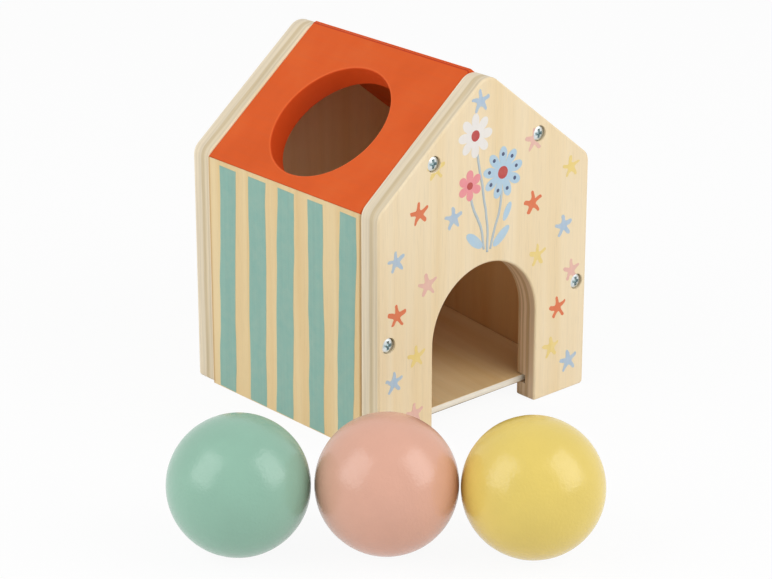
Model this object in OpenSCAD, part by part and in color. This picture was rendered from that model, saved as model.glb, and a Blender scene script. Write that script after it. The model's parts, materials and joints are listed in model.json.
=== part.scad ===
// Object permanence box: a small plywood house with a ball hole in one roof
// panel, a sloping floor that rolls the ball out of the doorway, and its balls.
// The origin is the middle of the back gable's foot; the doorway faces -Y.

/* [House shell] */
// Width over the outer faces of the two side walls
house_w = 110; // [104:1:130]
// Depth from the front face to the back face
house_d = 108; // [102:1:130]
// Height of the outer eave edge above the table
eave_h = 95; // [90:1:104]
// Height of the outer ridge edge above the table
ridge_h = 139; // [134:1:156]
// Thickness of the plywood boards
board_t = 10; // [8:0.5:11]
// How far the sides of the gables stand inside the outer faces of the walls
gable_inset = 0.6; // [0.2:0.1:1.5]
// How far the slopes of the gables stand above the outer faces of the roof
gable_rise = 0.4; // [0.1:0.1:1]

/* [Gable corners] */
// Corner radius of a gable at its eaves
eave_r = 6; // [3:0.5:10]
// Corner radius of a gable at its peak
peak_r = 7.5; // [2:0.5:12]
// Corner radius of a gable at its feet
foot_r = 1.5; // [1:0.5:5]

/* [Doorway] */
// How much wider the doorway is than a ball
door_clearance = 4.1; // [2:0.1:10]
// Height of the doorway's straight sides, up to the foot of its arch
door_side_h = 37.5; // [34:0.5:46]

/* [Ball hole] */
// How much wider the roof hole is than a ball
hole_clearance = 1.5; // [1:0.5:4]
// Wood left between the hole and the eave mitre on the roof's inner face
hole_margin = 0.6; // [0.4:0.1:3]

/* [Ramp floor] */
// Thickness of the ramp board
ramp_t = 3; // [2:0.5:4]
// Slope of the ramp down to the doorway, in degrees
ramp_pitch = 5.5; // [3:0.5:8]
// Height of the ramp's upper front edge above the table
ramp_front_h = 9; // [7:0.5:14]
// Depth of the grooves that hold the ramp in both gables
groove_depth = 5; // [3:0.5:6]
// Gap between each end of the ramp and the bottom of its groove
ramp_end_gap = 2; // [0.4:0.1:2.4]
// Gap between the ramp and each side wall
ramp_side_gap = 0.3; // [0.1:0.1:1]
// Gap above and below the ramp in its grooves
ramp_seat_gap = 0.1; // [0.05:0.05:0.5]

/* [Screws] */
// Diameter of a screw head
head_d = 5.5; // [5:0.5:7]
// Height of a screw head at its middle
head_h = 2; // [1.75:0.25:3]
// Height of the straight rim of a screw head
head_rim_h = 1.5; // [0.6:0.1:1.6]
// Diameter of a screw shank
shank_d = 3; // [2.5:0.25:4]
// Length of a screw under its head
screw_l = 20; // [14:1:24]
// Length of the screw's point
point_l = 4; // [2:0.5:6]
// Diameter at the blunt end of the screw's point
point_d = 0.6; // [0.3:0.1:1]
// Length of each slot of the cross recess
recess_l = 3.6; // [2.5:0.1:4.5]
// Width of each slot of the cross recess
recess_w = 1.2; // [0.6:0.1:1.4]
// Depth of the cross recess
recess_depth = 1.2; // [0.6:0.1:1.4]
// How deep a screw head lies below the face of its gable
head_sink = 0.4; // [0.2:0.1:2.5]
// Gap round a screw head in its counterbore
head_clearance = 0.4; // [0.2:0.1:1]
// Gap round a screw shank where it passes through a gable
shank_clearance = 0.25; // [0.1:0.05:0.5]
// Gap round a screw shank in the end of a panel
pilot_clearance = 0.05; // [0.02:0.01:0.15]
// Room left beyond the point of a screw
point_gap = 1; // [0.5:0.5:2]
// How far the screws lie in from the outer faces of the panels
screw_inset = 5.7; // [4:0.1:6]
// Height of the screws that hold the side walls
wall_screw_h = 44.5; // [35:0.5:60]

/* [Balls] */
// Diameter of a ball
ball_d = 50; // [46:1:52]
// How far the middle ball lies out from the side wall
row_side = 46; // [35:0.2:80]
// How far the middle ball lies out from the front gable
row_front = 56.4; // [45:0.2:90]
// Gap between the green ball and the middle ball
green_gap = 1; // [0.4:0.1:10]
// Direction from the middle ball to the green ball, in degrees
green_heading = 139; // [120:1:160]
// Gap between the yellow ball and the middle ball
yellow_gap = 0.4; // [0.4:0.1:10]
// Direction from the middle ball to the yellow ball, in degrees
yellow_heading = -45; // [-60:1:-20]

/* [Hidden] */
$fn = 96;
// How far a cut runs past the face that it opens
overrun = 1;
// How far the corner arcs of an outline reach past the flats, so that they always cross
arc_lap = 0.0005;

// Section through the shell: outer and inner lines of a wall and a roof panel
half_w = house_w / 2;
inner_half_w = half_w - board_t;
roof_pitch = atan2(ridge_h - eave_h, half_w);
roof_drop = board_t / cos(roof_pitch);
inner_ridge_h = ridge_h - roof_drop;
inner_eave_h = inner_ridge_h - inner_half_w * tan(roof_pitch);

// Planes across the depth, from the middle of the back gable
gable_span = house_d - board_t;
middle_y = -gable_span / 2;
panel_l = house_d - 2 * board_t;
front_inner_y = middle_y - panel_l / 2;
back_inner_y = middle_y + panel_l / 2;

// Ball hole, measured down the roof from the ridge; on a short roof it stays below the ridge
hole_d = ball_d + hole_clearance;
inner_slope_l = inner_half_w / cos(roof_pitch);
hole_down = max(
    hole_margin + hole_d / 2,
    inner_slope_l - hole_margin - hole_d / 2 + roof_drop * sin(roof_pitch)
);

// Doorway
door_w = ball_d + door_clearance;

// Ramp, from the lower edge of its front end
ramp_front_y = front_inner_y - groove_depth + ramp_end_gap + ramp_t * sin(ramp_pitch);
ramp_front_z = ramp_front_h - ramp_t * cos(ramp_pitch);
ramp_back_y = back_inner_y + groove_depth - ramp_end_gap;
ramp_l = (ramp_back_y - ramp_front_y) / cos(ramp_pitch);
ramp_w = 2 * (inner_half_w - ramp_side_gap);

// Lower and upper edge of each groove, clear of the sloping board
front_groove = [
    ramp_front_z - ramp_seat_gap,
    ramp_front_h + (groove_depth - ramp_end_gap) * tan(ramp_pitch) + ramp_seat_gap
];
back_groove = [
    ramp_front_z + (back_inner_y - ramp_front_y) * tan(ramp_pitch) - ramp_seat_gap,
    ramp_front_z + ramp_l * sin(ramp_pitch) + ramp_t * cos(ramp_pitch) + ramp_seat_gap
];

// Screws, each in the ends of the panel that it holds
seat_depth = head_sink + head_h;
pilot_l = screw_l - (board_t - seat_depth) + point_gap;
dome_h = head_h - head_rim_h;
dome_r = (pow(head_d / 2, 2) + pow(dome_h, 2)) / (2 * dome_h);
wall_spot = [half_w - screw_inset, wall_screw_h];
roof_spot = [
    hole_down * cos(roof_pitch) - screw_inset * sin(roof_pitch),
    ridge_h - hole_down * sin(roof_pitch) - screw_inset * cos(roof_pitch)
];
spots = [wall_spot, roof_spot];

// Row of balls in front of the left corner of the house
pink_place = [-half_w - row_side, middle_y - house_d / 2 - row_front];
green_place = pink_place + (ball_d + green_gap) * heading(green_heading);
yellow_place = pink_place + (ball_d + yellow_gap) * heading(yellow_heading);

wood = "#e8d3a9";
ramp_wood = "#c9a878";
roof_paint = "#d95a26";
zinc = "#b9bfc4";

function heading(a) = [cos(a), sin(a)];
function unit(v) = v / norm(v);

// Convex outline whose corners are arcs, one radius for each corner
module rounded_outline(corners, radii) {
    n = len(corners);
    before = [for (i = [0:n - 1]) unit(corners[(i + n - 1) % n] - corners[i])];
    after = [for (i = [0:n - 1]) unit(corners[(i + 1) % n] - corners[i])];
    half_angles = [for (i = [0:n - 1]) acos(before[i] * after[i]) / 2];
    polygon([
        for (i = [0:n - 1], side = [before[i], after[i]])
            corners[i] + side * radii[i] / tan(half_angles[i])
    ]);
    for (i = [0:n - 1])
        translate(corners[i] + unit(before[i] + after[i]) * radii[i] / sin(half_angles[i]))
            circle(radii[i] + arc_lap);
}

// Upright board of the given length, from its section in X and Z
module along_depth(length) {
    rotate([90, 0, 0]) linear_extrude(length, center = true) children();
}

module gable_outline() {
    w = half_w - gable_inset;
    peak_h = ridge_h + gable_rise / cos(roof_pitch);
    shoulder_h = peak_h - w * tan(roof_pitch);
    rounded_outline(
        [[-w, 0], [w, 0], [w, shoulder_h], [0, peak_h], [-w, shoulder_h]],
        [foot_r, foot_r, eave_r, peak_r, eave_r]
    );
}

module doorway() {
    translate([-door_w / 2, -overrun]) square([door_w, door_side_h + overrun]);
    translate([0, door_side_h]) circle(d = door_w);
}

// Stepped hole for one screw, from the outer face of a gable
module screw_hole() {
    rotate([90, 0, 0]) {
        translate([0, 0, board_t / 2 - seat_depth])
            cylinder(d = head_d + 2 * head_clearance, h = seat_depth + overrun);
        cylinder(d = shank_d + 2 * shank_clearance, h = board_t + 2 * overrun, center = true);
    }
}

// Gable board about its own middle, with its outer face towards -Y
module gable(groove, has_door) {
    difference() {
        along_depth(board_t) difference() {
            gable_outline();
            if (has_door) doorway();
        }
        translate([-inner_half_w, board_t / 2 - groove_depth, groove[0]])
            cube([2 * inner_half_w, groove_depth + overrun, groove[1] - groove[0]]);
        for (side = [-1, 1], spot = spots)
            translate([side * spot[0], 0, spot[1]]) screw_hole();
    }
}

// Holes for the screws in both ends of a panel on the right-hand side
module pilot_holes(spot) {
    for (end = [-1, 1])
        translate([spot[0], end * (panel_l - pilot_l + overrun) / 2, spot[1]])
            rotate([90, 0, 0])
                cylinder(d = shank_d + 2 * pilot_clearance, h = pilot_l + overrun, center = true);
}

// Right-hand side wall about the middle of the house, mitred at the eave
module wall_panel() {
    difference() {
        along_depth(panel_l) polygon([
            [inner_half_w, 0], [half_w, 0], [half_w, eave_h], [inner_half_w, inner_eave_h]
        ]);
        pilot_holes(wall_spot);
    }
}

// Right-hand roof panel about the middle of the house, mitred at the eave and the ridge
module roof_panel() {
    difference() {
        along_depth(panel_l) polygon([
            [0, inner_ridge_h], [inner_half_w, inner_eave_h], [half_w, eave_h], [0, ridge_h]
        ]);
        pilot_holes(roof_spot);
    }
}

// Round hole bored square through the right-hand roof panel
module ball_hole() {
    translate([hole_down * cos(roof_pitch), 0, ridge_h - hole_down * sin(roof_pitch)])
        rotate([0, roof_pitch, 0])
            translate([0, 0, -board_t / 2])
                cylinder(d = hole_d, h = board_t + 2 * overrun, center = true);
}

// Domed screw with a cross recess, its seat at the origin and its point downwards
module screw() {
    difference() {
        union() {
            intersection() {
                cylinder(d = head_d, h = head_h + overrun);
                translate([0, 0, head_h - dome_r]) sphere(dome_r);
            }
            translate([0, 0, point_l - screw_l]) cylinder(d = shank_d, h = screw_l - point_l);
            translate([0, 0, -screw_l]) cylinder(d1 = point_d, d2 = shank_d, h = point_l);
        }
        for (turn = [0, 90])
            rotate(turn)
                translate([-recess_l / 2, -recess_w / 2, head_h - recess_depth])
                    cube([recess_l, recess_w, recess_depth + overrun]);
    }
}

module front_screw(side, spot) {
    color(zinc)
        translate([side * spot[0], -gable_span - board_t / 2 + seat_depth, spot[1]])
            rotate([90, 0, 0]) screw();
}

module back_screw(side, spot) {
    color(zinc)
        translate([side * spot[0], board_t / 2 - seat_depth, spot[1]])
            rotate([-90, 0, 0]) screw();
}

module ball(place) {
    translate([place[0], place[1], ball_d / 2]) sphere(d = ball_d);
}

module front_gable() {
    color(wood) translate([0, -gable_span, 0]) gable(front_groove, true);
}

module back_gable() {
    color(wood) mirror([0, 1, 0]) gable(back_groove, false);
}

module left_wall() {
    color(wood) translate([0, middle_y, 0]) mirror([1, 0, 0]) wall_panel();
}

module right_wall() {
    color(wood) translate([0, middle_y, 0]) wall_panel();
}

module left_roof() {
    color(roof_paint) translate([0, middle_y, 0]) mirror([1, 0, 0]) difference() {
        roof_panel();
        ball_hole();
    }
}

module right_roof() {
    color(roof_paint) translate([0, middle_y, 0]) roof_panel();
}

module ramp() {
    color(ramp_wood)
        translate([-ramp_w / 2, ramp_front_y, ramp_front_z])
            rotate([ramp_pitch, 0, 0]) cube([ramp_w, ramp_l, ramp_t]);
}

module front_left_wall_screw() { front_screw(-1, wall_spot); }
module front_right_wall_screw() { front_screw(1, wall_spot); }
module front_left_roof_screw() { front_screw(-1, roof_spot); }
module front_right_roof_screw() { front_screw(1, roof_spot); }
module back_left_wall_screw() { back_screw(-1, wall_spot); }
module back_right_wall_screw() { back_screw(1, wall_spot); }
module back_left_roof_screw() { back_screw(-1, roof_spot); }
module back_right_roof_screw() { back_screw(1, roof_spot); }

module green_ball() { color("#8fbca6") ball(green_place); }
module pink_ball() { color("#dfab95") ball(pink_place); }
module yellow_ball() { color("#e6cc62") ball(yellow_place); }

front_gable();
back_gable();
left_wall();
right_wall();
left_roof();
right_roof();
ramp();
front_left_wall_screw();
front_right_wall_screw();
front_left_roof_screw();
front_right_roof_screw();
back_left_wall_screw();
back_right_wall_screw();
back_left_roof_screw();
back_right_roof_screw();
green_ball();
pink_ball();
yellow_ball();
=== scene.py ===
import json
import math

import bmesh
import bpy
from mathutils import Euler, Matrix, Vector, noise


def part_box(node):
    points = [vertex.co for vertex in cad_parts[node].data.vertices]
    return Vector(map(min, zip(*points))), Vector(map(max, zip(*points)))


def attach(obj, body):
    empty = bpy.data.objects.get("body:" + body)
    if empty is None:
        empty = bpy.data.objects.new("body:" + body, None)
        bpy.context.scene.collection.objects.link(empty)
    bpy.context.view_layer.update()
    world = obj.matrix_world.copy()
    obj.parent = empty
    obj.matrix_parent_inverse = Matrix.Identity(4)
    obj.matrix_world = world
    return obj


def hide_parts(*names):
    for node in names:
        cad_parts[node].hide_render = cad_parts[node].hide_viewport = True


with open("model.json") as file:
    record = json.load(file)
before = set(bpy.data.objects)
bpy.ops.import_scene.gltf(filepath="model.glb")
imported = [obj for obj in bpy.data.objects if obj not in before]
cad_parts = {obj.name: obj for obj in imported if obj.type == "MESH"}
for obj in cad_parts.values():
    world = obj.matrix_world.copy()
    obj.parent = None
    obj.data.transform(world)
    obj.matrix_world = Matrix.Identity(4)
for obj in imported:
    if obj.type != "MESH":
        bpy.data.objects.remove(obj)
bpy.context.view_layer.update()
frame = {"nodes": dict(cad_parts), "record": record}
mm = 0.001
scene = bpy.context.scene
scene.view_settings.view_transform = "Standard"
print("frame loaded,", len(frame["nodes"]), "nodes")


# Small helpers for node trees

def tint(code):
    parts = [int(code[i:i + 2], 16) / 255 for i in (1, 3, 5)]
    return [p / 12.92 if p < 0.04045 else ((p + 0.055) / 1.055) ** 2.4 for p in parts] + [1.0]


def fill(tree, node, settings):
    # A value is set on its socket, an output is linked to it
    for key, value in settings.items():
        socket = node.inputs[key]
        if isinstance(value, bpy.types.NodeSocket):
            tree.links.new(value, socket)
        else:
            socket.default_value = value
    return node


def make(tree, kind, settings=None, **choices):
    node = tree.nodes.new(kind)
    for key, value in choices.items():
        setattr(node, key, value)
    return fill(tree, node, settings or {})


def newFinish(name):
    finish = bpy.data.materials.new(name)
    finish.use_nodes = True
    tree = finish.node_tree
    spot = make(tree, "ShaderNodeTexCoord").outputs["Object"]
    return finish, tree, tree.nodes["Principled BSDF"], spot


def stretched(tree, spot, scale, shift=(0, 0, 0), turn=(0, 0, 0)):
    return make(tree, "ShaderNodeMapping", {
        "Vector": spot, "Location": shift, "Rotation": turn, "Scale": scale,
    }).outputs["Vector"]


def grainNoise(tree, spot, scale, detail=2.0, roughness=0.5, distortion=0.0):
    return make(tree, "ShaderNodeTexNoise", {
        "Vector": stretched(tree, spot, scale), "Scale": 1.0, "Detail": detail,
        "Roughness": roughness, "Distortion": distortion,
    }).outputs["Fac"]


def ramp(tree, factor, stops):
    node = make(tree, "ShaderNodeValToRGB", {"Fac": factor})
    elements = node.color_ramp.elements
    for i, (place, colour) in enumerate(stops):
        element = elements[i] if i < 2 else elements.new(place)
        element.position = place
        element.color = colour
    return node.outputs["Color"]


def mapped(tree, value, low, high, toLow, toHigh):
    return make(tree, "ShaderNodeMapRange", {
        "Value": value, "From Min": low, "From Max": high, "To Min": toLow, "To Max": toHigh,
    }).outputs["Result"]


def mixed(tree, blend, factor, first, second):
    node = make(tree, "ShaderNodeMix", data_type="RGBA", blend_type=blend)
    return fill(tree, node, {0: factor, 6: first, 7: second}).outputs[2]


def maths(tree, operation, first, second):
    return make(tree, "ShaderNodeMath", {0: first, 1: second}, operation=operation).outputs[0]


def vectors(tree, operation, first, second=(0, 0, 0), name="Vector"):
    node = make(tree, "ShaderNodeVectorMath", {0: first, 1: second}, operation=operation)
    return node.outputs[name]


def scaled(tree, vector, factor):
    return make(tree, "ShaderNodeVectorMath", {
        0: vector, "Scale": factor}, operation="SCALE").outputs["Vector"]


def parted(tree, vector):
    return make(tree, "ShaderNodeSeparateXYZ", {"Vector": vector}).outputs


def distance(tree, value, middle):
    return maths(tree, "ABSOLUTE", maths(tree, "SUBTRACT", value, middle), 0.0)


def bumped(tree, shader, height, strength, depth=0.1 * mm):
    bump = make(tree, "ShaderNodeBump", {"Height": height, "Strength": strength, "Distance": depth})
    tree.links.new(bump.outputs["Normal"], shader.inputs["Normal"])


# Helpers for pieces

def newPiece(name, mesh):
    piece = bpy.data.objects.new(name, mesh)
    scene.collection.objects.link(piece)
    return piece


def meshOf(body, name):
    mesh = bpy.data.meshes.new(name)
    body.to_mesh(mesh)
    body.free()
    return mesh


def cutWith(piece, cutters):
    for cutter in cutters:
        cut = piece.modifiers.new("cut", "BOOLEAN")
        cut.operation = "DIFFERENCE"
        cut.solver = "EXACT"
        cut.object = cutter


def settle(piece):
    # The modifiers' result becomes the piece's own mesh
    graph = bpy.context.evaluated_depsgraph_get()
    made = bpy.data.meshes.new_from_object(
        piece.evaluated_get(graph), preserve_all_data_layers=True, depsgraph=graph)
    piece.modifiers.clear()
    piece.data = made
    return piece


def wear(piece, finish):
    piece.data.materials.clear()
    piece.data.materials.append(finish)
    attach(piece, "house")


# Boards of the house, measured from the frame's own boxes

frontLow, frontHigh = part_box("front_gable")
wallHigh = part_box("right_wall")[1]
house = {
    "front": frontLow.y, "back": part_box("back_gable")[1].y, "side": wallHigh.x,
    "thick": frontHigh.y - frontLow.y, "ridge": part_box("right_roof")[1].z, "eave": wallHigh.z,
    # the gables' counterbores and the grooves that hold the ramp, as in the solids
    "boreRadius": 3.15 * mm, "boreDepth": 2.4 * mm,
    "grooveHalf": 45 * mm, "grooveDepth": 5 * mm,
    "frontGroove": (5.914 * mm, 9.389 * mm), "backGroove": (14.648 * mm, 18.124 * mm),
    "innerFade": (-0.3 * mm, -0.1 * mm),    # where the look of the inside begins
}
house["middle"] = (house["front"] + house["back"]) / 2
house["pitch"] = math.atan2(house["ridge"] - house["eave"], house["side"])


# Plywood: lacquered face veneer with upright grain, and the plies on the cut edges

plyLook = {
    "pale": "#f1dfbe",
    "honey": "#ebd3a8",
    # ripples per metre across the grain, and how far they run along it
    "figure": (95, 0.9),
    "fibre": (850, 0.35),
    "pores": (2600, 0.9),
    "streak": 0.975,        # how dark the darkest fibres go
    "fleck": 0.95,          # how dark the pores go
    "inside": "#efd6c2",    # tint of the bare wood inside the house: partly its browner inner veneer, partly painted shade
    "veneer": 0.075,        # share of the thickness that is face veneer
    "blend": 0.02,          # share over which it gives way to the plies
    "cream": "#f4ead6",
    "beige": "#e5d6bb",
    "fawn": "#dccbab",
    "tan": "#d3c09c",
    # plies from the outer face to the inner face
    "plies": [(0.00, "cream"), (0.07, "beige"), (0.16, "fawn"), (0.23, "beige"), (0.29, "fawn"),
              (0.36, "tan"), (0.47, "tan"), (0.54, "beige"), (0.86, "beige"), (0.93, "cream")],
    "strands": (900, 25),   # per metre through the plies and along them
    "strandLow": 0.88, "strandHigh": 1.06,
    "swayScale": 60, "sway": 0.03,
    "roughLow": 0.42, "roughHigh": 0.60,
    "shine": 0.35, "bump": 0.12,
}
# The doorway's edge is sawn and left bare, so each ply shows; its colours are partly ply tone and
# partly painted shade, darker towards the back
frontLook = dict(
    plyLook, light="#e8ccaa", dark="#ccac84",
    sawn=[(0.00, "light"), (0.30, "light"), (0.37, "dark"), (0.48, "dark"), (0.54, "light"),
          (0.62, "light"), (0.70, "dark"), (0.77, "light"), (0.84, "dark")])
# The back gable's inside tint is lighter than the others, as painted light from the doorway
backLook = dict(
    plyLook, inside="#f7e7d6",
    plies=[(1 - place, key) for place, key in reversed(plyLook["plies"])])
# Painted shade darkens the walls along their joint with the back gable
wallLook = dict(
    plyLook, pale="#ead2a3", honey="#dfbd84", inside="#e0c6ae", joint=1.4 * mm, glue="#c8a472")


def insideShell(tree, parts):
    # 1 within the inner faces of the walls and the roof, 0 beyond them
    away = maths(tree, "ABSOLUTE", parts["X"], 0.0)
    toWall = maths(tree, "SUBTRACT", house["side"] - house["thick"], away)
    top = house["ridge"] - house["thick"] / math.cos(house["pitch"])
    toRoof = maths(tree, "SUBTRACT", top, maths(tree, "ADD", parts["Z"], maths(
        tree, "MULTIPLY", away, math.tan(house["pitch"]))))
    return mapped(tree, maths(tree, "MINIMUM", toWall, toRoof), *house["innerFade"], 0.0, 1.0)


def plyFinish(name, look, across, outer, inner, lean=0.0):
    # The grain crosses the axis named in across, the plies lie from outer to inner
    finish, tree, shader, spot = newFinish(name)
    if lean:
        spot = stretched(tree, spot, (1, 1, 1), turn=(lean, 0, 0))
    flat = {"x": (1, 0.3, 0.05), "y": (0.3, 1, 0.05), "ramp": (1, 0.05, 0.3)}[across]
    parts = parted(tree, spot)
    through = {"x": 1, "y": 0, "ramp": 2}[across]

    def along(size, run):
        low = min(flat)
        return [size * f * (run if f == low else 1) for f in flat]

    figure = grainNoise(tree, spot, along(*look["figure"]), 2.0, 0.5, 0.6)
    fibre = grainNoise(tree, spot, along(*look["fibre"]), 3.0, 0.65, 0.2)
    pores = grainNoise(tree, spot, along(*look["pores"]), 1.0)
    veneer = ramp(tree, figure, [(0.3, tint(look["pale"])), (0.72, tint(look["honey"]))])
    shade = mapped(tree, fibre, 0.25, 0.6, look["streak"], 1.02)
    veneer = mixed(tree, "MULTIPLY", 1.0, veneer, shade)
    flecks = mapped(tree, pores, 0.30, 0.42, look["fleck"], 1.0)
    veneer = mixed(tree, "MULTIPLY", 1.0, veneer, flecks)

    # Bare wood inside the house and on the doorway's jambs is tinted browner: partly the inner
    # veneer's own tone, partly painted shade
    depth = mapped(tree, parts[through], outer, inner, 0.0, 1.0)
    within = insideShell(tree, parts)
    inward = maths(tree, "MULTIPLY", within, mapped(tree, depth, 0.05, 0.4, 0.0, 1.0))
    veneer = mixed(tree, "MULTIPLY", inward, veneer, tint(look["inside"]))

    # Plies on the edges, with strands that run along the edge
    sway = grainNoise(tree, spot, [look["swayScale"]] * 3, 2.0)
    swayed = maths(
        tree, "ADD", depth, mapped(tree, sway, 0.2, 0.8, -look["sway"], look["sway"]))
    plies = ramp(tree, swayed, [(place, tint(look[key])) for place, key in look["plies"]])
    if "sawn" in look:
        sawn = ramp(tree, swayed, [(place, tint(look[key])) for place, key in look["sawn"]])
        plies = mixed(tree, "MIX", within, plies, sawn)
    deep, wide = look["strands"]
    strands = grainNoise(tree, spot, [deep if i == through else wide for i in range(3)], 2.0, 0.6)
    shade = mapped(tree, strands, 0.3, 0.7, look["strandLow"], look["strandHigh"])
    plies = mixed(tree, "MULTIPLY", 1.0, plies, shade)
    rim = 0.5 - look["veneer"]
    bare = mapped(
        tree, distance(tree, depth, 0.5), rim - look["blend"], rim + look["blend"], 1.0, 0.0)
    wood = mixed(tree, "MIX", bare, veneer, plies)

    if "joint" in look:
        # Painted shade along the walls' joint with the back gable
        end = house["back"] - house["thick"]
        near = mapped(tree, parts["Y"], end - look["joint"], end, 0.0, 1.0)
        wood = mixed(tree, "MULTIPLY", near, wood, tint(look["glue"]))

    fill(tree, shader, {
        "Base Color": wood,
        "Roughness": mapped(tree, fibre, 0.3, 0.7, look["roughLow"], look["roughHigh"]),
        "Specular IOR Level": look["shine"],
    })
    bumped(tree, shader, fibre, look["bump"])
    return finish


# Boards rebuilt from the nodes' own outlines, with their edges eased by sanding

layer = {"lift": 0.05 * mm, "sunk": 0.03 * mm}      # paint on a wall

ease = {
    "gable": 0.9 * mm, "bore": 0.12 * mm, "wall": 0.45 * mm, "mitre": 0.25 * mm,
    "leftRidge": 1.5 * mm, "rightRidge": 1.0 * mm, "roofEnd": 0.4 * mm, "hole": 0.6 * mm,
    "ramp": 0.3 * mm,
}
widestEase = max(ease.values())
sanding = {
    "steps": 3,                     # across an eased edge
    "sides": 96,                    # around a bore
    "corner": math.radians(28),     # sharper edges are eased
    "crease": math.radians(35),     # sharper edges stay hard in the shading
    "straight": math.radians(0.5),  # smaller turns of an outline are none
    "band": 6 * mm,                 # a wall's edges further in than this stay square
    "close": 0.01,                  # a roof's too, as a share of its slope
    "weld": 0.002 * mm, "level": 0.005 * mm,
}


def outline(node, axis):
    # Corners of the node's end face across that axis, in order
    body = bmesh.new()
    body.from_mesh(frame["nodes"][node].data)
    bmesh.ops.remove_doubles(body, verts=body.verts, dist=sanding["weld"])
    level = min(v.co[axis] for v in body.verts)
    flat = [f for f in body.faces
            if all(abs(v.co[axis] - level) < sanding["level"] for v in f.verts)]
    inFlat = set(flat)
    links = {}
    for face in flat:
        for loop in face.loops:
            if not all(f in inFlat for f in loop.edge.link_faces):
                links[loop.vert.index] = loop.link_loop_next.vert
    loops = []
    body.verts.ensure_lookup_table()
    while links:
        first, after = links.popitem()
        chain = [body.verts[first].co.copy()]
        while after.index != first:
            chain.append(after.co.copy())
            after = links.pop(after.index)
        loops.append(chain)
    body.free()
    longest = max(loops, key=lambda c: sum((c[i] - c[i - 1]).length for i in range(len(c))))
    count = len(longest)
    return [p for i, p in enumerate(longest)
            if (p - longest[i - 1]).angle(longest[(i + 1) % count] - p) > sanding["straight"]]


def easedBoard(node, axis, easeAt, cutters=(), shy=0.0):
    low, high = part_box(node)
    corners = outline(node, axis)
    for corner in corners:
        if abs(corner.x) > house["side"] - shy:
            corner.x = math.copysign(house["side"] - shy, corner.x)
    count = len(corners)
    body = bmesh.new()
    ends = []
    for level in (low[axis], high[axis]):
        ring = []
        for corner in corners:
            spot = corner.copy()
            spot[axis] = level
            ring.append(body.verts.new(spot))
        ends.append(ring)
    body.faces.new(ends[0])
    body.faces.new(ends[1][::-1])
    for i in range(count):
        j = (i + 1) % count
        body.faces.new((ends[0][j], ends[0][i], ends[1][i], ends[1][j]))
    bmesh.ops.recalc_face_normals(body, faces=body.faces)
    weight = body.edges.layers.float.new("bevel_weight_edge")
    for edge in body.edges:
        if edge.calc_face_angle(0) > sanding["corner"]:
            edge[weight] = easeAt((edge.verts[0].co + edge.verts[1].co) / 2) / widestEase
    mesh = meshOf(body, node + ".eased")
    mesh.shade_smooth()
    piece = newPiece(node + ".board", mesh)
    rounded = piece.modifiers.new("ease", "BEVEL")
    rounded.limit_method = "WEIGHT"
    rounded.width = widestEase
    rounded.segments = sanding["steps"]
    rounded.use_clamp_overlap = False
    cutWith(piece, cutters)
    settle(piece)
    piece.data.set_sharp_from_angle(angle=sanding["crease"])
    flatten = piece.modifiers.new("flatten", "WEIGHTED_NORMAL")
    flatten.keep_sharp = True
    settle(piece)
    for cutter in cutters:
        bpy.data.objects.remove(cutter)
    return piece


def boreCutter(mouth, way, radius, depth, rim, through=False):
    # Round cutter along way from the mouth, flared so that the rim comes out eased
    steps, sides = sanding["steps"], sanding["sides"]
    turns = [math.pi / 2 * i / steps for i in range(steps + 1)]
    lip = [(radius + rim * (1 - math.sin(t)), rim * (1 - math.cos(t)) + sanding["weld"])
           for t in turns]
    profile = [(radius + rim, -mm)] + lip
    if through:
        profile += [(r, depth - d) for r, d in reversed(profile)]
    else:
        profile.append((radius, depth))
    way = Vector(way).normalized()
    side = way.orthogonal().normalized()
    other = way.cross(side)
    body = bmesh.new()
    around = [2 * math.pi * i / sides for i in range(sides)]
    rings = [[body.verts.new(Vector(mouth) + way * d + r * (
        side * math.cos(a) + other * math.sin(a))) for a in around] for r, d in profile]
    for near, far in zip(rings, rings[1:]):
        for i in range(sides):
            j = (i + 1) % sides
            body.faces.new((near[i], near[j], far[j], far[i]))
    body.faces.new(rings[0][::-1])
    body.faces.new(rings[-1])
    bmesh.ops.recalc_face_normals(body, faces=body.faces)
    mesh = meshOf(body, "bore")
    mesh.shade_smooth()
    return newPiece("bore", mesh)


def grooveCutter(low, high):
    body = bmesh.new()
    made = bmesh.ops.create_cube(body, size=1)
    for v in made["verts"]:
        v.co = Vector([(a + b) / 2 + (b - a) * c for a, b, c in zip(low, high, v.co)])
    return newPiece("groove", meshOf(body, "groove"))


def gableEase(spot):
    return ease["gable"]


def wallEase(spot):
    if abs(spot.x) < house["side"] - sanding["band"]:
        return 0.0
    upright = mm < spot.z < house["eave"] - sanding["band"]
    return ease["wall" if upright else "mitre"]


def roofEase(spot, crest):
    rise = (spot.z - house["eave"]) / (house["ridge"] - house["eave"])
    run = 1 - abs(spot.x) / house["side"]
    if abs(rise - run) > sanding["close"]:
        return 0.0
    if rise > 1 - sanding["close"]:
        return crest
    return ease["mitre" if rise < sanding["close"] else "roofEnd"]


def rampEase(spot):
    return ease["ramp"]


def screwMouths(end, face):
    for part in ("left_wall", "right_wall", "left_roof", "right_roof"):
        low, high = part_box(f"{end}_{part}_screw")
        yield (low.x + high.x) / 2, face, (low.z + high.z) / 2


def gableCutters(end):
    # Four counterbores from the outer face and the ramp's groove in the inner one
    face, inward, groove = {
        "front": (house["front"], 1, house["frontGroove"]),
        "back": (house["back"], -1, house["backGroove"]),
    }[end]
    cutters = [
        boreCutter(mouth, (0, inward, 0), house["boreRadius"], house["boreDepth"], ease["bore"])
        for mouth in screwMouths(end, face)]
    inner = face + inward * house["thick"]
    deep = sorted((inner - inward * house["grooveDepth"], inner + inward * mm))
    cutters.append(grooveCutter((-house["grooveHalf"], deep[0], groove[0]),
                                (house["grooveHalf"], deep[1], groove[1])))
    return cutters


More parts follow.
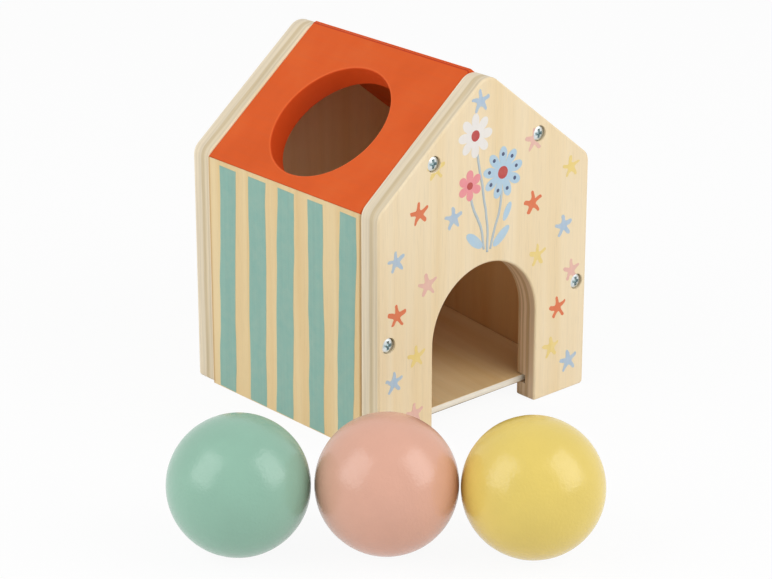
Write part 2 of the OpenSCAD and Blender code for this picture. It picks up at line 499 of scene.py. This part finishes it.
# The hole through the left roof panel, where the record's mount says
mount = next(m for m in frame["record"]["mounts"] if m["name"] == "ball_hole")
ballHole = {"middle": Vector(mount["pos_m"]), "axis": Vector(mount["axis"]),
            "radius": mount["dims"]["r_mm"] * mm}


def ballHoleCutter():
    mouth = ballHole["middle"] + ballHole["axis"] * house["thick"] / 2
    return boreCutter(mouth, -ballHole["axis"], ballHole["radius"], house["thick"], ease["hole"],
                      through=True)


thick = house["thick"]
boards = {
    "front_gable": (gableEase, gableCutters("front"), plyFinish(
        "front gable ply", frontLook, "x", house["front"], house["front"] + thick)),
    "back_gable": (gableEase, gableCutters("back"), plyFinish(
        "back gable ply", backLook, "x", house["back"], house["back"] - thick)),
    "left_wall": (wallEase, (), plyFinish(
        "left wall ply", wallLook, "y", -house["side"], thick - house["side"])),
    "right_wall": (wallEase, (), plyFinish(
        "right wall ply", wallLook, "y", house["side"], house["side"] - thick)),
}
for node, (easeAt, cutters, finish) in boards.items():
    shy = layer["lift"] if "wall" in node else 0.0      # room for the stripes' paint
    board = easedBoard(node, 1, easeAt, cutters, shy)
    wear(board, finish)
    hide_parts(node)
print("plywood boards eased")


# Ramp: thin board, browner than the walls

rampLook = dict(
    plyLook, pale="#e7cc9c", honey="#dab881", streak=0.99, inside="#ffffff",
    cream="#f3ecdd", beige="#ece0c8", tan="#8d8270", veneer=0.03,
    # The dark bottom ply is painted shade along the ramp's lower edge
    plies=[(0.00, "tan"), (0.10, "tan"), (0.16, "beige"), (0.30, "cream"), (0.90, "cream")],
    lean=math.radians(-5.5), half=1.5 * mm)     # slope and half of the thickness
rampFloor = easedBoard("ramp", 0, rampEase)
rampLean = rampLook["lean"]
rampMiddle = sum(v.co.y * math.sin(rampLean) + v.co.z * math.cos(rampLean)
                 for v in rampFloor.data.vertices) / len(rampFloor.data.vertices)
wear(rampFloor, plyFinish(
    "ramp ply", rampLook, "ramp", rampMiddle - rampLook["half"], rampMiddle + rampLook["half"],
    rampLean))
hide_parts("ramp")
print("ramp eased")


# Roof panels in satin paint

roofLook = {
    "paint": "#dc5a1c", "thin": "#de6124", "deep": "#d65618",
    "cloud": 45, "brush": (700, 40, 700), "peel": 1300,     # ripples per metre
    "roughLow": 0.5, "roughHigh": 0.62, "shine": 0.22, "bump": 0.10,
    # place, width and tint of a painted shade line near the crest
    "seam": -1.0 * mm, "seamWidth": 0.34 * mm, "seamShade": "#dba58f",
    # colour on the ball hole's wall, a painted highlight on its rim, and where each fades out
    "bore": "#e4521b", "boreFade": (0.05 * mm, 0.3 * mm),
    "rim": "#e5652a", "rimFade": (0.4 * mm, 0.9 * mm),
}


def roofFinish(look):
    finish, tree, shader, spot = newFinish("roof paint")
    cloud = grainNoise(tree, spot, [look["cloud"]] * 3, 3.0, 0.55)
    brush = grainNoise(tree, spot, look["brush"], 3.0, 0.6)
    peel = grainNoise(tree, spot, [look["peel"]] * 3, 2.0)
    coat = ramp(tree, cloud, [
        (0.3, tint(look["deep"])), (0.5, tint(look["paint"])), (0.72, tint(look["thin"]))])
    coat = mixed(tree, "MULTIPLY", 1.0, coat, mapped(tree, brush, 0.25, 0.75, 0.97, 1.02))
    # Painted shade: a dark line just left of the crest stands for the shaded seam of the two panels
    aside = distance(tree, parted(tree, spot)["X"], look["seam"])
    near = mapped(tree, aside, look["seamWidth"] / 2, look["seamWidth"], 1.0, 0.0)
    coat = mixed(tree, "MULTIPLY", near, coat, tint(look["seamShade"]))
    # The ball hole's wall is painted redder, and its rim lighter as a painted highlight
    apart = vectors(tree, "SUBTRACT", spot, ballHole["middle"])
    off = vectors(tree, "CROSS_PRODUCT", apart, ballHole["axis"])
    off = vectors(tree, "LENGTH", off, name="Value")
    off = maths(tree, "SUBTRACT", off, ballHole["radius"])
    for key in ("rim", "bore"):
        near = mapped(tree, off, *look[key + "Fade"], 1.0, 0.0)
        coat = mixed(tree, "MIX", near, coat, tint(look[key]))
    fill(tree, shader, {
        "Base Color": coat,
        "Roughness": mapped(tree, brush, 0.3, 0.7, look["roughLow"], look["roughHigh"]),
        "Specular IOR Level": look["shine"],
    })
    height = mixed(tree, "MIX", 0.5, brush, peel)
    bumped(tree, shader, height, look["bump"])
    return finish


roofPaint = roofFinish(roofLook)
for node in ("left_roof", "right_roof"):
    crest = ease["leftRidge" if node == "left_roof" else "rightRidge"]
    panel = easedBoard(node, 1, lambda spot: roofEase(spot, crest),
                       [ballHoleCutter()] if node == "left_roof" else [])
    wear(panel, roofPaint)
    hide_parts(node)
print("roof panels eased")


# Screws: the nodes' own shape in bright zinc

zincLook = {
    "bright": "#e4e8e8", "dull": "#c6cfd0", "roughLow": 0.28, "roughHigh": 0.42,
    "bloom": 600, "scratches": (2500, 2500, 400), "bump": 0.15, "bumpDepth": 0.03 * mm,
    "recess": (52.5 * mm, 52.75 * mm),      # its floor, from the middle of the house
    # painted shade on the floor of the cross recess
    "recessShade": "#c6d6d8",
}


def zincFinish(look):
    finish, tree, shader, spot = newFinish("zinc")
    bloom = grainNoise(tree, spot, [look["bloom"]] * 3, 3.0, 0.6)
    scratch = grainNoise(tree, spot, look["scratches"], 2.0)
    plate = ramp(tree, bloom, [(0.3, tint(look["dull"])), (0.65, tint(look["bright"]))])
    # Painted shade darkens the floor of the cross recess
    out = distance(tree, parted(tree, spot)["Y"], house["middle"])
    deep = mapped(tree, out, *look["recess"], 1.0, 0.0)
    fill(tree, shader, {
        "Base Color": mixed(tree, "MULTIPLY", deep, plate, tint(look["recessShade"])),
        "Metallic": 1.0,
        "Roughness": mapped(tree, bloom, 0.3, 0.7, look["roughLow"], look["roughHigh"]),
    })
    bumped(tree, shader, scratch, look["bump"], look["bumpDepth"])
    return finish


zinc = zincFinish(zincLook)
for node, screw in frame["nodes"].items():
    if node.endswith("_screw"):
        screw.data.materials.clear()
        screw.data.materials.append(zinc)
print("screws dressed")


# Painted decoration: node trees for thin layers of paint on a wall

stripeWall = house["side"] - layer["lift"]
facing = {
    "front": (Euler((math.pi / 2, 0, 0)), Vector((0, house["front"], 0))),
    "left": (Euler((math.pi / 2, 0, -math.pi / 2)), Vector((-stripeWall, house["middle"], 0))),
    "right": (Euler((math.pi / 2, 0, math.pi / 2)), Vector((stripeWall, house["middle"], 0))),
}
strokes = {
    "arms": 5, "armSteps": 4,                   # of a star, and around each rounded corner
    "notchPower": 0.55, "notchReach": 0.42,     # between a blossom's petals
    "points": 180, "bandRows": 72, "stemPoints": 40,
    # how the outlines sway: a band's two edges apart, and only sideways
    "bandSpread": (9, 1, 0), "bandSway": (1, 0, 0),
}


def newTree(name, sizes):
    tree = bpy.data.node_groups.new(name, "GeometryNodeTree")
    face = tree.interface
    face.new_socket(name="Geometry", in_out="OUTPUT", socket_type="NodeSocketGeometry")
    face.new_socket(name="Geometry", in_out="INPUT", socket_type="NodeSocketGeometry")
    kinds = {"Seed": "Int", "Facing": "Rotation", "Place": "Vector", "Paint": "Material"}
    for size in sizes:
        kind = "NodeSocket" + kinds.get(size, "Float")
        face.new_socket(name=size, in_out="INPUT", socket_type=kind)
    entry = make(tree, "NodeGroupInput")
    leave = make(tree, "NodeGroupOutput")
    return tree, entry.outputs, leave.inputs["Geometry"]


def paintLayer(tree, entry, flat):
    # A flat shape becomes a thin closed layer
    raised = make(tree, "GeometryNodeExtrudeMesh", {
        "Mesh": flat, "Offset Scale": entry["Lift"], "Individual": False}, mode="FACES")
    under = make(tree, "GeometryNodeFlipFaces", {"Mesh": flat})
    both = make(tree, "GeometryNodeJoinGeometry")
    tree.links.new(raised.outputs["Mesh"], both.inputs[0])
    tree.links.new(under.outputs["Mesh"], both.inputs[0])
    closed = make(tree, "GeometryNodeMergeByDistance", {
        "Geometry": both.outputs["Geometry"], "Distance": sanding["weld"]})
    return closed.outputs["Geometry"]


def onWall(tree, entry, leave, layers, spread, sway):
    # The layers get a hand-painted outline, then go on their wall
    real = make(tree, "GeometryNodeRealizeInstances", {"Geometry": layers})
    here = make(tree, "GeometryNodeInputPosition").outputs["Position"]
    noisy = make(tree, "ShaderNodeTexNoise", {
        "Vector": vectors(tree, "MULTIPLY", here, spread), "W": entry["Seed"],
        "Scale": entry["Ripple"], "Detail": 1.0}, noise_dimensions="4D")
    centred = vectors(tree, "SUBTRACT", noisy.outputs["Color"], (0.5, 0.5, 0.5))
    swing = vectors(tree, "MULTIPLY", scaled(tree, centred, entry["Wobble"]), sway)
    moved = make(tree, "GeometryNodeSetPosition", {
        "Geometry": real.outputs["Geometry"], "Offset": swing})
    placed = make(tree, "GeometryNodeTransform", {
        "Geometry": moved.outputs["Geometry"],
        "Rotation": entry["Facing"], "Translation": entry["Place"]})
    painted = make(tree, "GeometryNodeSetMaterial", {
        "Geometry": placed.outputs["Geometry"], "Material": entry["Paint"]})
    tree.links.new(painted.outputs["Geometry"], leave)


def ownValue(tree, name):
    node = make(tree, "GeometryNodeInputNamedAttribute", {"Name": name}, data_type="FLOAT")
    return node.outputs["Attribute"]


def copied(tree, entry, flat, wide, tall):
    # One layer on each point, at the point's own turn
    turn = make(tree, "ShaderNodeCombineXYZ", {"Z": ownValue(tree, "turn")})
    turn = make(tree, "FunctionNodeEulerToRotation", {"Euler": turn.outputs["Vector"]})
    scale = make(tree, "ShaderNodeCombineXYZ", {"X": wide, "Y": tall, "Z": 1.0})
    copies = make(tree, "GeometryNodeInstanceOnPoints", {
        "Points": entry["Geometry"], "Instance": paintLayer(tree, entry, flat.outputs["Mesh"]),
        "Rotation": turn.outputs["Rotation"], "Scale": scale.outputs["Vector"]})
    return copies.outputs["Instances"]


def motifTree(name, shape):
    # One star, oval or blossom on each point; turn and size come with the points
    tree, entry, leave = newTree(name, [
        "Radius", "Waist", "Rounding", "Tilt", "Petals", "Wobble", "Ripple", "Lift", "Seed",
        "Facing", "Place", "Paint"])
    waist = maths(tree, "MULTIPLY", entry["Radius"], entry["Waist"])
    if shape == "star":
        drawn = make(tree, "GeometryNodeCurveStar", {
            "Points": strokes["arms"], "Inner Radius": waist, "Outer Radius": entry["Radius"]})
        drawn = make(tree, "GeometryNodeFilletCurve", {
            "Curve": drawn.outputs["Curve"], "Count": strokes["armSteps"],
            "Radius": entry["Rounding"]}, mode="POLY")
        lean = make(tree, "ShaderNodeCombineXYZ", {"Z": entry["Tilt"]})
        drawn = make(tree, "GeometryNodeTransform", {
            "Geometry": drawn.outputs["Curve"], "Rotation": lean.outputs["Vector"]})
    else:
        drawn = make(tree, "GeometryNodeCurvePrimitiveCircle", {
            "Resolution": strokes["points"], "Radius": 1.0})
        oval = make(tree, "ShaderNodeCombineXYZ", {"X": entry["Radius"], "Y": waist, "Z": 1.0})
        drawn = make(tree, "GeometryNodeTransform", {
            "Geometry": drawn.outputs["Curve"], "Scale": oval.outputs["Vector"]})
    if shape == "blossom":
        # Notches between the petals
        here = make(tree, "GeometryNodeInputPosition").outputs["Position"]
        parts = parted(tree, here)
        angle = maths(tree, "ARCTAN2", parts["Y"], parts["X"])
        wave = maths(tree, "MULTIPLY", angle, maths(tree, "MULTIPLY", entry["Petals"], 0.5))
        wave = maths(tree, "ABSOLUTE", maths(tree, "COSINE", wave, 0.0), 0.0)
        wave = maths(tree, "POWER", wave, strokes["notchPower"])
        reach = mapped(tree, wave, 0.0, 1.0, strokes["notchReach"], 1.0)
        drawn = make(tree, "GeometryNodeSetPosition", {
            "Geometry": drawn.outputs[0], "Position": scaled(tree, here, reach)})
    even = make(tree, "GeometryNodeResampleCurve", {
        "Curve": drawn.outputs[0], "Count": strokes["points"]})
    flat = make(tree, "GeometryNodeFillCurve", {"Curve": even.outputs["Curve"]})
    size = ownValue(tree, "size")
    onWall(tree, entry, leave, copied(tree, entry, flat, size, size), (1, 1, 0), (1, 1, 0))
    return tree


def stripeTree():
    # One upright band on each point, as wide as its size says
    tree, entry, leave = newTree("wavy stripes", [
        "Width", "Height", "Wobble", "Ripple", "Lift", "Seed", "Facing", "Place", "Paint"])
    band = make(tree, "GeometryNodeMeshGrid", {
        "Size X": entry["Width"], "Size Y": entry["Height"],
        "Vertices X": 2, "Vertices Y": strokes["bandRows"]})
    bands = copied(tree, entry, band, ownValue(tree, "size"), 1.0)
    onWall(tree, entry, leave, bands, strokes["bandSpread"], strokes["bandSway"])
    return tree


def stemTree():
    # A ribbon along each chain of points
    tree, entry, leave = newTree("stems", [
        "Width", "Wobble", "Ripple", "Lift", "Seed", "Facing", "Place", "Paint"])
    path = make(tree, "GeometryNodeMeshToCurve", {"Mesh": entry["Geometry"]})
    smooth = make(tree, "GeometryNodeCurveSplineType", {
        "Curve": path.outputs["Curve"]}, spline_type="CATMULL_ROM")
    even = make(tree, "GeometryNodeResampleCurve", {
        "Curve": smooth.outputs["Curve"], "Count": strokes["stemPoints"]})
    upright = make(tree, "GeometryNodeSetCurveNormal", {
        "Curve": even.outputs["Curve"]}, mode="Z_UP")
    left = make(tree, "ShaderNodeCombineXYZ", {
        "X": maths(tree, "MULTIPLY", entry["Width"], 0.5)}).outputs["Vector"]
    width = make(tree, "GeometryNodeCurvePrimitiveLine", {
        "Start": scaled(tree, left, -1.0), "End": left})
    flat = make(tree, "GeometryNodeCurveToMesh", {
        "Curve": upright.outputs["Curve"], "Profile Curve": width.outputs["Curve"]})
    onWall(tree, entry, leave, paintLayer(tree, entry, flat.outputs["Mesh"]), (1, 1, 0), (1, 1, 0))
    return tree


def decorate(name, tree, points, side, paint, sizes, edges=(), coats=1.0, cutters=()):
    # points: (across, up, turn in degrees, size) in millimetres on the wall
    mesh = bpy.data.meshes.new(name)
    mesh.from_pydata([(p[0] * mm, p[1] * mm, -layer["sunk"]) for p in points], edges, [])
    for key, column, unit in (("turn", 2, math.pi / 180), ("size", 3, 1)):
        values = mesh.attributes.new(key, "FLOAT", "POINT")
        for i, p in enumerate(points):
            values.data[i].value = p[column] * unit
    piece = newPiece(name, mesh)
    turn, place = facing[side]
    given = dict(sizes, Facing=turn, Place=place, Paint=paint,
                 Lift=layer["lift"] * coats + layer["sunk"])
    grown = piece.modifiers.new("grow", "NODES")
    grown.node_group = tree
    for item in tree.interface.items_tree:
        if item.in_out == "INPUT" and item.name in given:
            grown[item.identifier] = given[item.name]
    settle(piece)
    cutWith(piece, cutters)
    settle(piece)
    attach(piece, "house")
    return piece


washLook = {
    "pool": 260, "grain": (850, 850, 15),       # ripples per metre
    "roughLow": 0.45, "roughHigh": 0.6, "shine": 0.35, "bump": 0.10,
}


def washFinish(name, colour, look):
    # Thin paint that lets some of the grain through
    finish, tree, shader, spot = newFinish(name)
    pool = grainNoise(tree, spot, [washLook["pool"]] * 3, 3.0, 0.6)
    grain = grainNoise(tree, spot, washLook["grain"], 3.0, 0.65)
    deep = tint(colour)
    pale = [c + (w - c) * look["thin"] for c, w in zip(deep, tint(plyLook["pale"]))]
    coat = ramp(tree, pool, [(0.3, deep), (0.75, pale)])
    coat = mixed(tree, "MULTIPLY", 1.0, coat, mapped(tree, grain, 0.25, 0.6, look["grain"], 1.01))
    fill(tree, shader, {
        "Base Color": coat,
        "Roughness": mapped(tree, grain, 0.3, 0.7, washLook["roughLow"], washLook["roughHigh"]),
        "Specular IOR Level": washLook["shine"],
    })
    bumped(tree, shader, grain, washLook["bump"])
    return finish


# Stripes on the side walls

stripes = {
    # each band's middle, from the wall's own towards the door, its lean in degrees, its width
    "bands": [(-33.4, -1.5, 9.4), (-15.0, -0.6, 9.9), (1.4, -1.3, 9.7), (19.4, -0.1, 8.7),
              (36.8, -1.5, 9.2)],
    "bottom": 0.45, "top": 93.0,
    "paint": "#89b4a8", "thin": 0.08, "grain": 0.93,
    "sizes": {"Wobble": 2.4 * mm, "Ripple": 38.0},
}
stripePaint = washFinish("teal stripe", stripes["paint"], stripes)
bandTree = stripeTree()
for side, mirror, seed in (("left", 1, 3), ("right", -1, 8)):
    tall = stripes["top"] - stripes["bottom"]
    points = [(mirror * across, stripes["bottom"] + tall / 2, mirror * lean, width)
              for across, lean, width in stripes["bands"]]
    sizes = dict(stripes["sizes"], Width=mm, Height=tall * mm, Seed=seed)
    decorate(side + "_stripes", bandTree, points, side, stripePaint, sizes)
print("stripes painted")


# Stars on the front gable

stars = {
    "sizes": {"Radius": 11.2 * mm, "Waist": 0.135, "Rounding": 0.65 * mm, "Tilt": math.radians(90),
              "Wobble": 2.0 * mm, "Ripple": 260.0},
    "grain": 0.95,
    # paint, how thin it is, then each star's place, turn and size
    "blue": ("#aac2d9", 0.22, [
        (-3.9, 129.2, 3, 1.05), (-45.6, 76.7, 6, 1), (-17.2, 86.6, 2, 1.05),
        (-46.7, 29.0, 2, 1), (41.2, 69.6, 5, 1.05), (45.7, 12.0, 4, 1.1)]),
    "red": ("#df784f", 0.04, [
        (-34.4, 92.6, 6, 1.05), (-45.3, 55.2, 2, 1.05), (24.2, 83.0, 5, 1.1),
        (39.1, 36.3, 7, 1.05)]),
    "rose": ("#e6b6aa", 0.20, [
        (-30.2, 63.6, 6, 1.1), (-36.4, 13.4, 3, 1.05), (24.3, 108.3, 2, 1.05),
        (46.2, 50.2, 4, 1.05)]),
    "yellow": ("#ebd181", 0.22, [
        (-35.5, 36.4, 4, 1.05), (-26.2, 108.0, 3, 1.05), (44.6, 92.9, 4, 1),
        (27.3, 61.1, 0, 1.05), (35.8, 20.3, 2, 1.05)]),
}
starTree = motifTree("brushed stars", "star")
# The counterbores go through the paint
bores = [boreCutter(mouth, (0, 1, 0), house["boreRadius"] + ease["bore"], 2 * mm, 0.0)
         for mouth in screwMouths("front", house["front"])]
for seed, key in enumerate(("blue", "red", "rose", "yellow")):
    colour, thin, points = stars[key]
    paint = washFinish(key + " star", colour, dict(stars, thin=thin))
    decorate(key + "_stars", starTree, points, "front", paint, dict(stars["sizes"], Seed=seed),
             cutters=bores)
for bore in bores:
    bpy.data.objects.remove(bore)
print("stars painted")


# Posy of three flowers above the doorway

posy = {
    "thin": 0.10, "grain": 0.97,
    "stem": "#b9c6cc", "leaf": "#b1cde1", "white": "#ebe7e3", "rose": "#eb929a",
    "sky": "#b1cde1", "red": "#bb4343", "dot": "#3e4d72",
    "wobble": {"Wobble": 0.7 * mm, "Ripple": 160.0},
    # middle across and up, petals, radius
    "blossoms": {"white": (-6.5, 116.5, 8, 8.6), "sky": (8.0, 99.0, 9, 10.2),
                 "rose": (-9.0, 97.5, 6, 6.0)},
    "chains": [[(0.4, 69.0), (0.2, 80.0), (-2.5, 95.0), (-5.5, 110.0)],
               [(-1.3, 70.5), (-3.2, 80.0), (-7.0, 88.0), (-8.6, 94.0)],
               [(2.1, 70.0), (3.9, 77.0), (6.5, 84.0), (7.6, 92.0)]],
    "leaves": [(-6.3, 75.0, 140, 1.0), (7.6, 73.8, 38, 1.0), (10.6, 83.0, 62, 0.75)],
    "stemWidth": 1.2 * mm, "leafRadius": 5.2 * mm, "leafWaist": 0.38,
    "heartRadius": 2.0 * mm, "fullHeart": 8,    # radius of a blossom with a heart of that size
    "dotRadius": 0.75 * mm, "dotRing": 0.7,     # the ring as a share of the blossom's radius
    # one more coat for each layer, so that no two lie level
    "coats": {"stem": 0.5, "leaf": 0.75, "petals": 1.0, "heart": 1.25, "dot": 1.5},
}
ovalTree = motifTree("leaves and dots", "oval")
blossomTree = motifTree("blossoms", "blossom")
ribbonTree = stemTree()


def posyPaint(key):
    return washFinish("posy " + key, posy[key], posy)


chainPoints, chainEdges = [], []
for chain in posy["chains"]:
    first = len(chainPoints)
    chainPoints += [(u, v, 0, 1) for u, v in chain]
    chainEdges += [(first + i, first + i + 1) for i in range(len(chain) - 1)]
decorate("posy_stems", ribbonTree, chainPoints, "front", posyPaint("stem"),
         dict(posy["wobble"], Width=posy["stemWidth"], Seed=2), chainEdges, posy["coats"]["stem"])
decorate("posy_leaves", ovalTree, posy["leaves"], "front", posyPaint("leaf"),
         dict(posy["wobble"], Radius=posy["leafRadius"], Waist=posy["leafWaist"], Seed=4),
         coats=posy["coats"]["leaf"])
hearts, dots = [], []
for key, (u, v, petals, radius) in posy["blossoms"].items():
    decorate("posy_" + key, blossomTree, [(u, v, 90, 1)], "front", posyPaint(key),
             dict(posy["wobble"], Radius=radius * mm, Waist=1.0, Petals=petals, Seed=petals),
             coats=posy["coats"]["petals"])
    hearts.append((u, v, 0, radius / posy["fullHeart"]))
    if key == "sky":
        ring = posy["dotRing"] * radius
        spread = [math.radians(90 + 360 * i / petals) for i in range(petals)]
        dots += [(u + ring * math.cos(a), v + ring * math.sin(a), 0, 1) for a in spread]
decorate("posy_hearts", ovalTree, hearts, "front", posyPaint("red"),
         dict(posy["wobble"], Radius=posy["heartRadius"], Waist=1.0, Seed=6),
         coats=posy["coats"]["heart"])
decorate("posy_dots", ovalTree, dots, "front", posyPaint("dot"),
         dict(posy["wobble"], Radius=posy["dotRadius"], Waist=1.0, Seed=7),
         coats=posy["coats"]["dot"])
print("posy painted")


# Balls: turned wood under satin paint

balls = {
    "green_ball": ("#8fbaa5", "green_paint"),
    "pink_ball": ("#dea993", "pink_paint"),
    "yellow_ball": ("#e5cb68", "yellow_paint"),
    "uneven": 0.06 * mm, "ripple": 110, "cloud": 60,
    "roughLow": 0.19, "roughHigh": 0.26, "shine": 0.5,
    # ripples of the paint per metre, the finer ones' share and how deep they go
    "peel": 380, "fine": 950, "fineShare": 0.75, "peelDepth": 0.13 * mm,
    "splits": 6, "apart": 50,       # splits of the mesh, and a shift that tells the balls apart
    "dents": (0.6, 2.0, 3),         # roughness, spacing and layers
}


def ballFinish(name, colour):
    finish, tree, shader, spot = newFinish(name)
    cloud = grainNoise(tree, spot, [balls["cloud"]] * 3, 3.0, 0.6)
    peel = grainNoise(tree, spot, [balls["peel"]] * 3, 1.0)
    fine = grainNoise(tree, spot, [balls["fine"]] * 3, 2.0)
    coat = mixed(tree, "MULTIPLY", 1.0, tint(colour), mapped(tree, cloud, 0.25, 0.75, 0.96, 1.03))
    fill(tree, shader, {
        "Base Color": coat,
        "Roughness": mapped(tree, peel, 0.3, 0.7, balls["roughLow"], balls["roughHigh"]),
        "Specular IOR Level": balls["shine"],
    })
    height = mixed(tree, "MIX", balls["fineShare"], peel, fine)
    bumped(tree, shader, height, 1.0, balls["peelDepth"])
    return finish


def turnedBall(node):
    low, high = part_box(node)
    centre, radius = (low + high) / 2, (high.z - low.z) / 2
    body = bmesh.new()
    bmesh.ops.create_icosphere(body, subdivisions=balls["splits"], radius=radius)
    for vertex in body.verts:
        place = vertex.co * balls["ripple"] + centre * balls["apart"]
        dent = noise.fractal(place, *balls["dents"])
        vertex.co *= 1 - balls["uneven"] * min(max(0.5 + 0.5 * dent, 0), 1) / radius
        vertex.co += centre
    mesh = meshOf(body, node + ".turned")
    mesh.shade_smooth()
    return newPiece(node + ".turned", mesh)


for node in ("green_ball", "pink_ball", "yellow_ball"):
    colour, slot = balls[node]
    ball = turnedBall(node)
    ball.data.materials.append(ballFinish(slot.replace("_", " "), colour))
    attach(ball, node)
    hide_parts(node)
print("balls turned")


# Floor, world, lamps and camera

studio = {
    "floorSize": 8.0, "floorDrop": 0.05 * mm, "floorTone": 0.86, "floorShare": 0.93,
    "worldLight": 0.50,
    # name, way from the target, reach, size and power
    "lamps": [("left softbox", (-0.8273, 0.1735, 0.5330), 1.25, (0.85, 1.05), 6.7),
              ("right softbox", (0.3292, -0.7702, 0.5442), 1.25, (0.85, 1.05), 7.5)],
    "target": (-2.272 * mm, -49 * mm, 38.86 * mm),
    "azimuth": -41.904, "elevation": 21.401, "distance": 1.0535,
    "lens": 124.74, "sensor": 36, "farthest": 30,
}


def seenRays(tree):
    # 1 for camera, mirror and glass rays, 0 for the rays that light the object
    path = make(tree, "ShaderNodeLightPath").outputs
    shiny = maths(tree, "MAXIMUM", path["Is Glossy Ray"], path["Is Transmission Ray"])
    return maths(tree, "MAXIMUM", path["Is Camera Ray"], shiny)


def floorFinish():
    finish, tree, shader, spot = newFinish("floor white")
    tree.nodes.remove(shader)
    tone = studio["floorTone"]
    matt = make(tree, "ShaderNodeBsdfDiffuse", {"Color": (tone, tone, tone, 1)})
    white = make(tree, "ShaderNodeEmission", {"Color": (1, 1, 1, 1), "Strength": 1.0})
    share = maths(tree, "MULTIPLY", seenRays(tree), studio["floorShare"])
    both = make(tree, "ShaderNodeMixShader", {
        0: share, 1: matt.outputs["BSDF"], 2: white.outputs["Emission"]})
    tree.links.new(both.outputs["Shader"], tree.nodes["Material Output"].inputs["Surface"])
    return finish


floorHalf = studio["floorSize"] / 2
floorMesh = bpy.data.meshes.new("floor")
floorMesh.from_pydata(
    [(floorHalf * x, floorHalf * y, 0) for x, y in ((-1, -1), (1, -1), (1, 1), (-1, 1))],
    [], [(0, 1, 2, 3)])
floorMesh.transform(Matrix.Translation((0, 0, -studio["floorDrop"])))
floor = newPiece("floor", floorMesh)
floorMesh.materials.append(floorFinish())

world = bpy.data.worlds.new("studio")
world.use_nodes = True
scene.world = world
air = world.node_tree
fill(air, air.nodes["Background"], {
    "Color": (1, 1, 1, 1),
    "Strength": mapped(air, seenRays(air), 0.0, 1.0, studio["worldLight"], 1.0),
})

target = Vector(studio["target"])
for name, way, reach, size, power in studio["lamps"]:
    lamp = bpy.data.lights.new(name, "AREA")
    lamp.shape = "RECTANGLE"
    lamp.size, lamp.size_y = size
    lamp.energy = power
    holder = bpy.data.objects.new(name, lamp)
    scene.collection.objects.link(holder)
    holder.location = target + Vector(way).normalized() * reach
    holder.rotation_euler = (target - holder.location).to_track_quat("-Z", "Y").to_euler()

azimuth, elevation = math.radians(studio["azimuth"]), math.radians(studio["elevation"])
away = Vector((math.sin(azimuth) * math.cos(elevation),
               -math.cos(azimuth) * math.cos(elevation), math.sin(elevation)))
lens = bpy.data.cameras.new("camera")
lens.lens = studio["lens"]
lens.sensor_width = studio["sensor"]
lens.clip_end = studio["farthest"]
camera = bpy.data.objects.new("camera", lens)
scene.collection.objects.link(camera)
camera.location = target + away * studio["distance"]
camera.rotation_euler = (-away).to_track_quat("-Z", "Y").to_euler()
scene.camera = camera
print("studio set")
